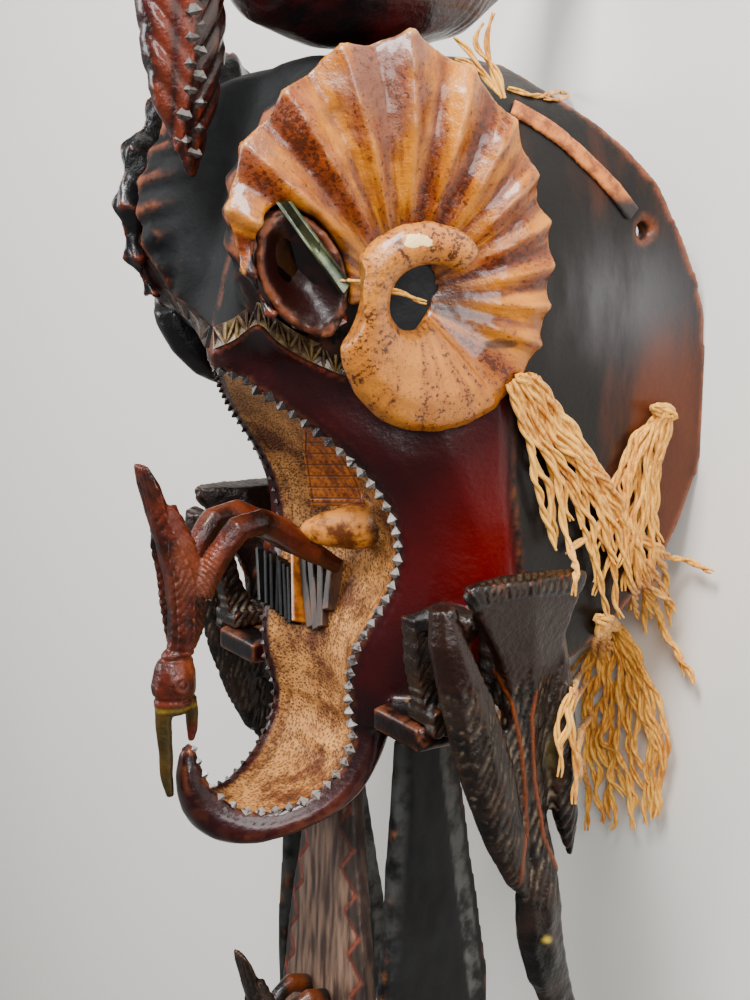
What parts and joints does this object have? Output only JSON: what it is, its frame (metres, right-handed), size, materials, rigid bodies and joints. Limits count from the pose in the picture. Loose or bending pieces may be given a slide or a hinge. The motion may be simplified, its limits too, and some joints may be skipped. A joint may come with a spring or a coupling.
{
  "type": "carved helmet mask",
  "caption": "Carved wooden helmet mask of a ram-horned beast face with a deep serrated mouth, hung about with carved hornbills, raffia tassels and a plank beard, lying on its back.",
  "frame": {"origin": "centre of the bounding box's bottom, on the floor that the helmet's rim lies on", "axes": "+Z out of the face, +Y towards the crest, +X to the mask's own left"},
  "size_m": [0.3218, 0.8144, 0.3083],
  "materials": {
    "head_wood": "red to black lacquer over carved wood, burnished dark shell",
    "horn_wood": "varnished speckled tan",
    "red_bird_wood": "red-brown stained and waxed",
    "bird_wood": "dark stained, dusty grooves",
    "crest_wood": "dark red lacquer",
    "grey_wood": "worn grey-brown, dark edges",
    "black_wood": "black stained, satin",
    "thong_leather": "worn tan leather",
    "raffia": "dry twisted raffia"
  },
  "bodies": {
    "root": {"mask_head": "head_wood", "horn_left": "horn_wood", "horn_right": "horn_wood", "hornbill_front": "red_bird_wood", "hornbill_left": "bird_wood", "hornbill_right": "bird_wood", "hornbill_beard": "bird_wood", "hornbill_crest": "crest_wood", "beard_plank": "grey_wood", "blade_left": "black_wood", "blade_right": "black_wood", "thong_left": "thong_leather", "thong_right": "thong_leather", "tassel_cheek_left": "raffia", "tassel_cheek_right": "raffia", "tassel_rim_left": "raffia", "tassel_rim_right": "raffia", "tassel_jaw_left": "raffia", "tassel_jaw_right": "raffia"}
  },
  "joints": []
}
